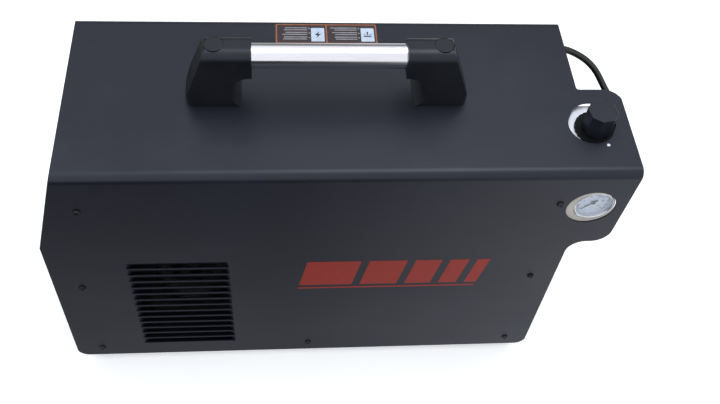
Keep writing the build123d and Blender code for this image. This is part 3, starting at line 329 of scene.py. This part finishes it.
LABEL_PALE = printed("label_pale", (0.46, 0.56, 0.72), (0.58, 0.68, 0.84), 0.42)
GASKET = moulded("gauge_gasket", (0.50, 0.47, 0.43), (0.60, 0.57, 0.52), 0.6, 900)
PLATE = printed("plate_silver", (0.42, 0.43, 0.45), (0.54, 0.55, 0.57), 0.34, Metallic=0.75)
PANE = clear("smoked_pane", (0.020, 0.006, 0.006), 0.55)
LENS = clear("clear_lens", (0.80, 0.86, 0.95), 0.14, 0.03)
BOWL = clear("clear_bowl", (0.50, 0.60, 0.70), 0.32, 0.06)
GREEN = moulded(
    "lamp_green", (0.010, 0.20, 0.045), (0.020, 0.32, 0.075),
    0.16, 2400, 0.000006, Coat_Weight=0.5,
)
LIT = moulded("segment_lit", (0.60, 0.05, 0.03), (0.80, 0.09, 0.05), 0.4, 2400, 0.000006)
BOARD = circuit_board("circuit_board")
COPPER = wound_copper()

NODE_PAINT = {
    COAT: ("cover_shell", "base_tray", "front_panel", "rear_panel"),
    SCREW: ("cover_screws", "machine_screws"),
    RUBBER: ("rubber_feet",),
    HANDLE: ("handle_end_front", "handle_end_rear"),
    PLUG: ("handle_plugs",),
    CHROME: ("handle_tube",),
    ZINC: ("regulator_bracket",),
    KNOB_BLACK: ("regulator_knob", "current_knob"),
    NUT_SHADED_BLACK: ("regulator_ring_nut",),
    BLACK: (
        "regulator_bonnet",
        "bowl_guard",
        "drain_valve",
        "outlet_fitting",
        "mains_gland",
        "fan_frame",
        "fan_rotor",
        "torch_flange",
    ),
    GLOSS: ("breaker_body", "breaker_lever", "display_window", "test_switch_body", "test_rocker"),
    CAST: ("regulator_body",),
    RIM: ("gauge_case", "gauge_bezel"),
    DIAL: ("gauge_dial",),
    POINTER: ("gauge_pointer",),
    LENS: ("gauge_lens",),
    BOWL: ("filter_bowl",),
    SINTERED: ("filter_element",),
    BRASS: (
        "bulkhead_fitting",
        "inlet_nipple",
        "earth_stud",
        "torch_connector",
        "work_socket",
        "valve_body",
    ),
    STEEL: ("adjusting_screw", "potentiometer", "trigger_socket", "valve_plunger", "fan_guard"),
    PANE: ("display_glass",),
    GREEN: ("indicator_lamps",),
    BOARD: ("control_board", "power_board"),
    HEATSINK: ("heatsinks",),
    EPOXY: ("power_modules", "output_choke", "valve_coil"),
    SLEEVE: ("bus_capacitors",),
    FERRITE: ("transformer_core",),
    COPPER: ("transformer_winding", "gas_pipe"),
    HOSE: ("air_hose",),
}
for paint, names in NODE_PAINT.items():
    for name in names:
        mesh = NODES[name].data
        mesh.materials.clear()
        mesh.materials.append(paint)


# ---------------------------------------------------------------- mesh code


def add_prism(bm, corners, low, high, place, slot=0):
    """Closed prism on a convex or simple outline of (u, v), from w = low to high."""
    below = [bm.verts.new(place @ Vector((u, v, low))) for u, v in corners]
    above = [bm.verts.new(place @ Vector((u, v, high))) for u, v in corners]
    faces = [bm.faces.new(below[::-1]), bm.faces.new(above)]
    for i in range(len(corners)):
        j = (i + 1) % len(corners)
        faces.append(bm.faces.new((below[i], below[j], above[j], above[i])))
    for face in faces:
        face.material_index = slot


def rectangle(u0, u1, v0, v1):
    return [(u0, v0), (u1, v0), (u1, v1), (u0, v1)]


def rounded(u0, u1, v0, v1, radius, steps=5):
    """Rounded rectangle outline."""
    outline = []
    left, right, low, high = u0 + radius, u1 - radius, v0 + radius, v1 - radius
    middles = ((right, high), (left, high), (left, low), (right, low))
    for quarter, (u, v) in enumerate(middles):
        for step in range(steps + 1):
            turn = math.pi / 2 * (quarter + step / steps)
            outline.append((u + radius * math.cos(turn), v + radius * math.sin(turn)))
    return outline


def add_band(bm, inner, outer, low, high, place, slot=0, start=0.0, sweep=360.0, steps=64):
    """Closed flat band round the w axis: a full ring, or an arc with ends; angles in degrees."""
    whole = sweep >= 360
    count = steps if whole else steps + 1
    rows = []
    for step in range(count):
        turn = math.radians(start + sweep * step / steps)
        across = [(inner, low), (outer, low), (outer, high), (inner, high)]
        rows.append([bm.verts.new(place @ Vector((r * math.cos(turn), r * math.sin(turn), w))) for r, w in across])
    faces = []
    for step in range(steps):
        here, after = rows[step], rows[(step + 1) % count]
        for i in range(4):
            j = (i + 1) % 4
            faces.append(bm.faces.new((here[i], here[j], after[j], after[i])))
    if not whole:
        faces += [bm.faces.new(rows[0][::-1]), bm.faces.new(rows[-1])]
    for face in faces:
        face.material_index = slot


def add_text(bm, text, size, place, depth=0.06, slot=0):
    """Raised numerals or a plain sign, centred on the place."""
    curve = bpy.data.curves.new("numeral", "FONT")
    curve.body = text
    curve.size = size
    curve.extrude = depth / 2
    curve.align_x = "CENTER"
    curve.align_y = "CENTER"
    curve.resolution_u = 4
    holder = bpy.data.objects.new("numeral", curve)
    bpy.context.scene.collection.objects.link(holder)
    bpy.context.view_layer.update()
    flat = bpy.data.meshes.new_from_object(holder.evaluated_get(bpy.context.evaluated_depsgraph_get()))
    flat.transform(place @ Matrix.Translation((0, 0, depth / 2)))
    before = len(bm.faces)
    bm.from_mesh(flat)
    bm.faces.ensure_lookup_table()
    for face in bm.faces[before:]:
        face.material_index = slot
    bpy.data.objects.remove(holder)
    bpy.data.curves.remove(curve)
    bpy.data.meshes.remove(flat)


def piece(name, bm, paints, body="chassis", smooth=False):
    """Turns the bmesh into a piece that rides on a body."""
    bmesh.ops.remove_doubles(bm, verts=bm.verts, dist=1e-7)
    bmesh.ops.recalc_face_normals(bm, faces=bm.faces)
    mesh = bpy.data.meshes.new(name)
    bm.to_mesh(mesh)
    bm.free()
    for paint in paints:
        mesh.materials.append(paint)
    for polygon in mesh.polygons:
        polygon.use_smooth = smooth
    made = bpy.data.objects.new(name, mesh)
    bpy.context.scene.collection.objects.link(made)
    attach(made, body)
    return made


# ---------------------------------------------------------------- printed details

TOP = axes(at(0, 0, 0), (1, 0, 0), (0, 1, 0), (0, 0, 1))
NEAR_SIDE = axes(at(0, 0, 0), (1, 0, 0), (0, 0, 1), (0, -1, 0))
FAR_SIDE = axes(at(0, 229, 0), (-1, 0, 0), (0, 0, 1), (0, 1, 0))
INK = 0.12


def top_label():
    """Two-part label behind the handle: rows of bars in place of writing, beside plain signs."""
    bm = bmesh.new()
    left, right, low, high = 222.0, 336.5, 188.5, 220.0
    add_prism(bm, rounded(left, right, low, high, 2.0), 0.02, 0.16, TOP, 0)
    middle = (left + right) / 2
    for kind, u0, u1 in ((0, left + 1.6, middle - 0.8), (1, middle + 0.8, right - 1.6)):
        add_prism(bm, rounded(u0, u1, low + 1.6, high - 1.6, 1.2), 0.16, 0.24, TOP, 1)
        add_prism(bm, rounded(u1 - 16.6, u1 - 1.6, low + 3.4, high - 6.4, 0.8), 0.24, 0.32, TOP, 3)
        add_pictogram(bm, u1 - 9.1, (low + high - 3.0) / 2, kind)
        rng = random.Random(7 + kind)
        for v in (209.8, 202.4, 195.0):
            dot = TOP @ Matrix.Translation((u1 - 18.8, v + 2.9, 0))
            add_band(bm, 0.0001, 1.0, 0.24, 0.31, dot, 2, steps=16)
            for line in (0.0, 3.2):
                length = rng.uniform(24, 30)
                bar = rectangle(u1 - 21.0 - length, u1 - 21.0, v + line, v + line + 1.5)
                add_prism(bm, bar, 0.24, 0.31, TOP, 2)
    return piece("top_label", bm, [LABEL_EDGE, LABEL_FIELD, LABEL_GREY, LABEL_PALE, INK_BLACK])


def add_pictogram(bm, u, v, kind):
    """Plain generic sign: a flash between two bars, or a spark over a plate."""
    place = TOP @ Matrix.Translation((u, v, 0))
    if kind:
        add_prism(bm, [(-4.5, -3.2), (4.5, -3.2), (4.5, -1.8), (-4.5, -1.8)], 0.32, 0.38, place, 4)
        add_prism(bm, [(-0.9, 4.8), (0.9, 4.8), (0.3, -1.2), (-0.3, -1.2)], 0.32, 0.38, place, 4)
        for side in (-1, 1):
            tip = [(side * 1.4, -0.9), (side * 4.2, 1.6), (side * 4.6, 1.0), (side * 1.8, -1.3)]
            add_prism(bm, tip if side > 0 else tip[::-1], 0.32, 0.38, place, 4)
    else:
        flash = [(-3.6, -0.6), (1.6, 4.9), (0.4, 0.9), (3.8, 1.0), (-1.6, -5.0), (-0.3, -0.8)]
        add_prism(bm, flash, 0.32, 0.38, place, 4)


def side_stripes(name, place, start):
    """Slanted bars that shorten towards the rear, in place of a name."""
    bm = bmesh.new()
    u = start
    lean = 9.0
    low, high = -208.0, -158.0
    for width in (62.0, 44.0, 31.0, 22.0, 15.0):
        bar = [(u, low), (u + width, low), (u + width + lean, high), (u + lean, high)]
        add_prism(bm, bar, 0.0, INK, place)
        u += width + 9.5
    rule = [(start - 1.5, -216), (u - 11, -216), (u - 10.5, -213), (start - 1.0, -213)]
    add_prism(bm, rule, 0.0, INK, place)
    return piece(name, bm, [INK_RED])


top_label()
side_stripes("side_stripes_near", NEAR_SIDE, 246.0)
side_stripes("side_stripes_far", FAR_SIDE, -472.0)


def dial_place():
    low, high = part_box("gauge_dial")
    return axes(((low.x + high.x) / 2, low.y, (low.z + high.z) / 2), (1, 0, 0), (0, 0, 1), (0, -1, 0))


def dial_marks():
    """Pressure scale: 270 degrees from lower left, eleven long and fifty short marks, even numbers."""
    bm = bmesh.new()
    place = dial_place()
    for mark in range(51):
        long_mark = mark % 5 == 0
        turn = Matrix.Rotation(math.radians(225 - 5.4 * mark), 4, "Z")
        half = 0.30 if long_mark else 0.15
        inner = 14.0 if long_mark else 16.0
        add_prism(bm, rectangle(inner, 18.0, -half, half), 0.01, 0.07, place @ turn)
    add_band(bm, 18.0, 18.35, 0.01, 0.07, place, 0, -45, 270, 72)
    add_band(bm, 11.6, 12.3, 0.01, 0.06, place, 1, 36, 54, 20)
    for number in range(0, 11, 2):
        turn = math.radians(225 - 27 * number)
        spot = Matrix.Translation((10.2 * math.cos(turn), 10.2 * math.sin(turn), 0.01))
        add_text(bm, str(number), 4.2, place @ spot, 0.05)
    return piece("dial_marks", bm, [INK_BLACK, INK_RED])


dial_marks()

SLANT = math.atan2(33, 121)
UP_SLANT = (math.sin(SLANT), 0, math.cos(SLANT))
OFF_SLANT = (-math.cos(SLANT), 0, math.sin(SLANT))
SLANTED = axes(at(3.5, 114.5, -60.5), (0, -1, 0), UP_SLANT, OFF_SLANT)
FACE = axes(at(-15, 114.5, -310), (0, -1, 0), (0, 0, 1), (-1, 0, 0))
SCALE_RADIUS = 28


def slanted_at(u, v):
    return SLANTED @ Matrix.Translation((u, v, 0))


def panel_print():
    """White print on the control panel: current scale, lamp signs, frames round the groups."""
    bm = bmesh.new()
    knob = slanted_at(52, -18)
    for mark in range(31):
        turn = Matrix.Rotation(math.radians(240 - 10 * mark), 4, "Z")
        long_mark = mark % 5 == 0
        add_prism(bm, rectangle(19.5, 23.5 if long_mark else 21.8, -0.3, 0.3), 0.0, INK, knob @ turn)
    for step, number in enumerate((20, 26, 32, 38, 44, 52, 60)):
        turn = math.radians(240 - 50 * step)
        spot = Matrix.Translation((SCALE_RADIUS * math.cos(turn), SCALE_RADIUS * math.sin(turn), 0))
        add_text(bm, str(number), 5.0, knob @ spot, INK)
    for u in (24, 52, 80):
        add_band(bm, 5.6, 6.2, 0.0, INK, slanted_at(u, 38), 0, steps=32)
    flash = [(21.6, 27.4), (25.6, 30.6), (24.4, 28.6), (26.8, 28.4), (22.4, 25.0), (23.8, 27.2)]
    add_prism(bm, flash, 0.0, INK, SLANTED)
    add_band(bm, 1.6, 2.2, 0.0, INK, slanted_at(52, 28), 0, steps=24)
    add_prism(bm, [(79.6, 30.4), (77.2, 26.0), (82.8, 26.0), (80.4, 30.4)], 0.0, INK, SLANTED)
    for v0, v1 in ((46.2, 46.6), (-53.2, -52.8)):
        add_prism(bm, rectangle(-98, 98, v0, v1), 0.0, INK, SLANTED)
    add_prism(bm, rectangle(-12.2, -11.8, -50, 44), 0.0, INK, SLANTED)
    for u in (-66, -30):
        for line in range(3):
            half, low = 8 - 2 * line, -46.5 - 2 * line
            bar = rectangle(u - half, u + half, low, -45.9 - 2 * line)
            add_prism(bm, bar, 0.0, INK, SLANTED)
    return piece("panel_print", bm, [INK_WHITE])


def socket_print():
    """Signs under the three front sockets: torch, trigger lead and work clamp as plain shapes."""
    bm = bmesh.new()
    for u, reach in ((56.5, 26.0), (-0.5, 13.0), (-57.5, 24.0)):
        place = FACE @ Matrix.Translation((u, 0, 0))
        add_band(bm, reach, reach + 0.6, 0.0, INK, place, 0, 200, 140, 40)
    add_prism(bm, rectangle(50.5, 62.5, -36.4, -35.2), 0.0, INK, FACE)
    add_prism(bm, rectangle(55.9, 57.1, -41.8, -36.4), 0.0, INK, FACE)
    add_prism(bm, rectangle(-63.5, -51.5, -36.4, -35.2), 0.0, INK, FACE)
    for step, half in enumerate((6.0, 4.0, 2.0)):
        bar = rectangle(-57.5 - half, -57.5 + half, -38.8 - 2.2 * step, -38.0 - 2.2 * step)
        add_prism(bm, bar, 0.0, INK, FACE)
    return piece("socket_print", bm, [INK_WHITE])


def display_digits():
    """Two seven-segment numerals behind the smoked pane."""
    bm = bmesh.new()
    lit = {4: "bcfg", 0: "abcdef"}
    bars = {
        "a": (0, 6, 0),
        "b": (3.2, 3, 1),
        "c": (3.2, -3, 1),
        "d": (0, -6, 0),
        "e": (-3.2, -3, 1),
        "f": (-3.2, 3, 1),
        "g": (0, 0, 0),
    }
    for offset, digit in ((-7, 4), (7, 0)):
        for key, (u, v, upright) in bars.items():
            half_u, half_v = (0.55, 2.3) if upright else (2.5, 0.55)
            lean = 0.1 * v
            centre_u, centre_v = -48 + offset + u + lean, 26 + v
            bar = rectangle(centre_u - half_u, centre_u + half_u, centre_v - half_v, centre_v + half_v)
            add_prism(bm, bar, 0.52, 0.58, SLANTED, 0 if key in lit[digit] else 1)
    return piece("display_digits", bm, [LIT, INK_BLACK])


panel_print()
socket_print()
display_digits()


def knob_line():
    """White filling in the current knob's groove."""
    bm = bmesh.new()
    add_prism(bm, rectangle(-0.62, 0.62, 5.9, 13.0), 18.95, 19.3, slanted_at(52, -18))
    return piece("knob_line", bm, [INK_WHITE], "dial_knob")


knob_line()

REAR = axes(at(532, 0, 0), (0, 1, 0), (0, 0, 1), (1, 0, 0))


def rear_details():
    """Rating plate with ruled lines and rivets, switch signs and an earth sign."""
    bm = bmesh.new()
    add_prism(bm, rounded(24, 106, -352, -342, 1.0), 0.02, 0.12, REAR, 1)
    add_prism(bm, rounded(22, 108, -196, -146, 2.0), 0.02, 0.5, REAR, 0)
    for line in range(6):
        v = -155.0 - 6.4 * line
        add_prism(bm, rectangle(27, 103, v, v + 0.5), 0.5, 0.56, REAR, 2)
    for u, v0, v1 in ((52, -187, -154.5), (78, -187, -161)):
        add_prism(bm, rectangle(u, u + 0.5, v0, v1), 0.5, 0.56, REAR, 2)
    for u in (25.5, 104.5):
        for v in (-149.5, -192.5):
            add_band(bm, 0.0001, 1.5, 0.5, 1.1, REAR @ Matrix.Translation((u, v, 0)), 0, steps=20)
    switch = REAR @ Matrix.Translation((186, -165, 0))
    add_prism(bm, rectangle(-0.5, 0.5, 27, 33), 0.0, INK, switch, 1)
    add_band(bm, 2.5, 3.3, 0.0, INK, switch @ Matrix.Translation((0, -31, 0)), 1, steps=28)
    earth = REAR @ Matrix.Translation((205, -329, 0))
    add_prism(bm, rectangle(-0.35, 0.35, 0, 5), 0.0, INK, earth, 1)
    for step, half in enumerate((4.2, 2.7, 1.2)):
        add_prism(bm, rectangle(-half, half, -0.6 - 1.7 * step, -1.7 * step), 0.0, INK, earth, 1)
    return piece("rear_details", bm, [PLATE, INK_WHITE, INK_BLACK])


rear_details()


def torus_piece(name, centre, normal, major, minor, paint, body="chassis", turns=64, sides=14):
    """Round bead swept about an axis."""
    place = Vector(normal).to_track_quat("Z", "Y").to_matrix().to_4x4()
    bm = bmesh.new()
    rows = []
    for i in range(turns):
        a = 2 * math.pi * i / turns
        ring = []
        for j in range(sides):
            b = 2 * math.pi * j / sides
            r = major + minor * math.cos(b)
            offset = place @ Vector((r * math.cos(a), r * math.sin(a), minor * math.sin(b)))
            ring.append(bm.verts.new(Vector(centre) + offset))
        rows.append(ring)
    for i in range(turns):
        for j in range(sides):
            k, m = (i + 1) % turns, (j + 1) % sides
            bm.faces.new((rows[i][j], rows[k][j], rows[k][m], rows[i][m]))
    return piece(name, bm, [paint], body, smooth=True)


torus_piece("gland_seal", at(568.0, 168, -72), (1, 0, 0), 0.0068, 0.0018, RUBBER)
# Near-black rings round the handle plugs: painted shade in the seam between plug and handle end.
for end, x in (("front", 276.5 - 117), ("rear", 276.5 + 117)):
    torus_piece(f"plug_shade_ring_{end}", at(x, 114.5, 69.55), (0, 0, 1), 0.0101, 0.00042, PLUG_SEAM_SHADE)


def gauge_gasket():
    """Pale sealing ring behind the cover's gauge hole."""
    bm = bmesh.new()
    place = axes(at(563, 0, -59), (1, 0, 0), (0, 0, 1), (0, -1, 0))
    add_band(bm, 23.0, 34.0, -3.4, -1.6, place, steps=96)
    return piece("gauge_gasket", bm, [GASKET])


gauge_gasket()


def locating_stud():
    """Bright stud that stands on the bracket's plate and shows in the small hole beside the knob."""
    bm = bmesh.new()
    place = axes(at(569.6, 38.8, 0), (1, 0, 0), (0, 1, 0), (0, 0, 1))
    turns = [math.radians(15 * step) for step in range(24)]
    add_prism(bm, [(1.9 * math.cos(turn), 1.9 * math.sin(turn)) for turn in turns], -5.5, 0.2, place)
    add_prism(bm, [(1.5 * math.cos(turn), 1.5 * math.sin(turn)) for turn in turns], 0.2, 0.5, place)
    return piece("locating_stud", bm, [ZINC])


locating_stud()

# ---------------------------------------------------------------- air hose

HOSE_ROUTE = (
    (578.0, 102.0, -59.0),
    (600.0, 102.0, -59.0),
    (612.5, 109.0, -59.0),
    (620.0, 121.5, -59.5),
    (621.2, 137.0, -59.3),
    (617.5, 153.5, -57.5),
    (609.0, 169.5, -49.0),
    (599.0, 183.5, -36.0),
    (586.0, 191.8, -26.5),
    (568.5, 198.0, -19.5),
    (553.0, 200.0, -16.0),
    (538.0, 200.0, -16.0),
)
HOSE_DIAMETER = 0.008


def air_hose():
    curve = bpy.data.curves.new("air_hose_line", "CURVE")
    curve.dimensions = "3D"
    curve.bevel_depth = HOSE_DIAMETER / 2
    curve.bevel_resolution = 6
    curve.resolution_u = 16
    curve.use_fill_caps = True
    line = curve.splines.new("NURBS")
    line.points.add(len(HOSE_ROUTE) - 1)
    for point, spot in zip(line.points, HOSE_ROUTE):
        point.co = (*at(*spot), 1.0)
    line.use_endpoint_u = True
    line.order_u = 3
    curve.materials.append(HOSE)
    hose = bpy.data.objects.new("air_hose_line", curve)
    bpy.context.scene.collection.objects.link(hose)
    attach(hose, "chassis")
    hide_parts("air_hose")


air_hose()

# ---------------------------------------------------------------- floor, light and camera


def floor():
    """Plain pale floor for the camera; other rays see a glow graded by place instead of the pale paint: painted
    light and shadow that the dark sides mirror.
    """
    bm = bmesh.new()
    bmesh.ops.create_grid(bm, x_segments=1, y_segments=1, size=30)
    mesh = bpy.data.meshes.new("floor")
    bm.to_mesh(mesh)
    bm.free()
    paint = Paint("floor_paint", Specular_IOR_Level=0.1, Roughness=0.9)
    paint.shader.inputs["Emission Color"].default_value = (0.95, 0.97, 1.0, 1.0)
    seen = paint.node("ShaderNodeLightPath").outputs["Is Camera Ray"]
    spot = paint.node("ShaderNodeSeparateXYZ", Vector=paint.coords)
    along, across = spot.outputs["X"], spot.outputs["Y"]
    # The graded emission is painted light and shadow: dim far out in front of the unit, brighter close in and
    # towards its rear end.
    rear = paint.spread(along, -0.05, 0.40, 0.13, 0.88)
    close = paint.spread(across, -0.46, -0.20, 0.0, 0.36)
    painted_floor_glow = paint.math("ADD", paint.math("MULTIPLY", rear, paint.math("SUBTRACT", 1.0, close)), close)
    far_side = paint.spread(across, -0.95, -0.50)
    far = paint.math("MAXIMUM", far_side, paint.spread(along, 0.1, 0.7, 0.05, 0.8))
    painted_floor_glow = paint.math("MULTIPLY", painted_floor_glow, far)
    lift = paint.math("MULTIPLY", seen, 0.42)
    dim = paint.math("MULTIPLY", paint.math("SUBTRACT", 1.0, seen), painted_floor_glow)
    paint.set(paint.shader.inputs["Emission Strength"], paint.math("ADD", lift, dim))
    tone = paint.spread(paint.noise(3, 3), 0.3, 0.7)
    pale = paint.mix(tone, (0.86, 0.86, 0.87), (0.90, 0.90, 0.90))
    mesh.materials.append(paint.done(paint.mix(seen, (0.0, 0.0, 0.0), pale)))
    made = bpy.data.objects.new("floor", mesh)
    bpy.context.scene.collection.objects.link(made)


def area_light(name, spot, target, size, power, colour=(1, 1, 1), size_y=None):
    data = bpy.data.lights.new(name, "AREA")
    data.energy = power
    data.color = colour
    data.size = size
    if size_y:
        data.shape = "RECTANGLE"
        data.size_y = size_y
    lamp = bpy.data.objects.new(name, data)
    lamp.location = spot
    lamp.rotation_euler = (Vector(target) - Vector(spot)).to_track_quat("-Z", "Y").to_euler()
    bpy.context.scene.collection.objects.link(lamp)


def world():
    """Room light: brighter overhead and at the front end, dimmer low down behind; white to the camera."""
    made = bpy.data.worlds.new("studio")
    made.use_nodes = True
    tree = made.node_tree
    shade = tree.nodes["Background"]

    def combine(operation, a, b):
        node = tree.nodes.new("ShaderNodeMath")
        node.operation = operation
        tree.links.new(a, node.inputs[0])
        tree.links.new(b, node.inputs[1])
        return node.outputs["Value"]

    split = tree.nodes.new("ShaderNodeSeparateXYZ")
    tree.links.new(tree.nodes.new("ShaderNodeTexCoord").outputs["Generated"], split.inputs["Vector"])
    low_down = map_range(tree, split.outputs["Z"], 0.45, 0.70, 0.78, 0.0)
    behind = map_range(tree, split.outputs["Y"], 0.05, 0.45, 0.0, 1.0)
    dim = map_range(tree, combine("MULTIPLY", low_down, behind), 0.0, 1.0, 0.92, 0.0)
    overhead = map_range(tree, split.outputs["Z"], 0.90, 0.99, 0.0, 0.35)
    front_end = map_range(tree, split.outputs["X"], -0.35, 0.30, 0.28, 0.0)
    room = combine("ADD", combine("ADD", dim, combine("MULTIPLY", front_end, dim)), overhead)
    seen = tree.nodes.new("ShaderNodeLightPath").outputs["Is Camera Ray"]
    tree.links.new(combine("MAXIMUM", room, seen), shade.inputs["Strength"])
    shade.inputs["Color"].default_value = (0.95, 0.97, 1.0, 1)
    bpy.context.scene.world = made


floor()
world()
area_light("key", (0.45, 0.35, 2.4), (0, 0, 0.2), 1.2, 14, (1.0, 0.99, 0.97), 1.2)

camera = bpy.data.objects.new("camera", bpy.data.cameras.new("camera"))
camera.data.sensor_width = 36
camera.data.lens = 44.93
camera.data.clip_start = 0.01
camera.location = at(217.916, -548.372, 707.242)
camera.rotation_euler = [math.radians(turn) for turn in (36.32, -4.00, -3.79)]
bpy.context.scene.collection.objects.link(camera)
bpy.context.scene.camera = camera
bpy.context.scene.view_settings.view_transform = "Standard"
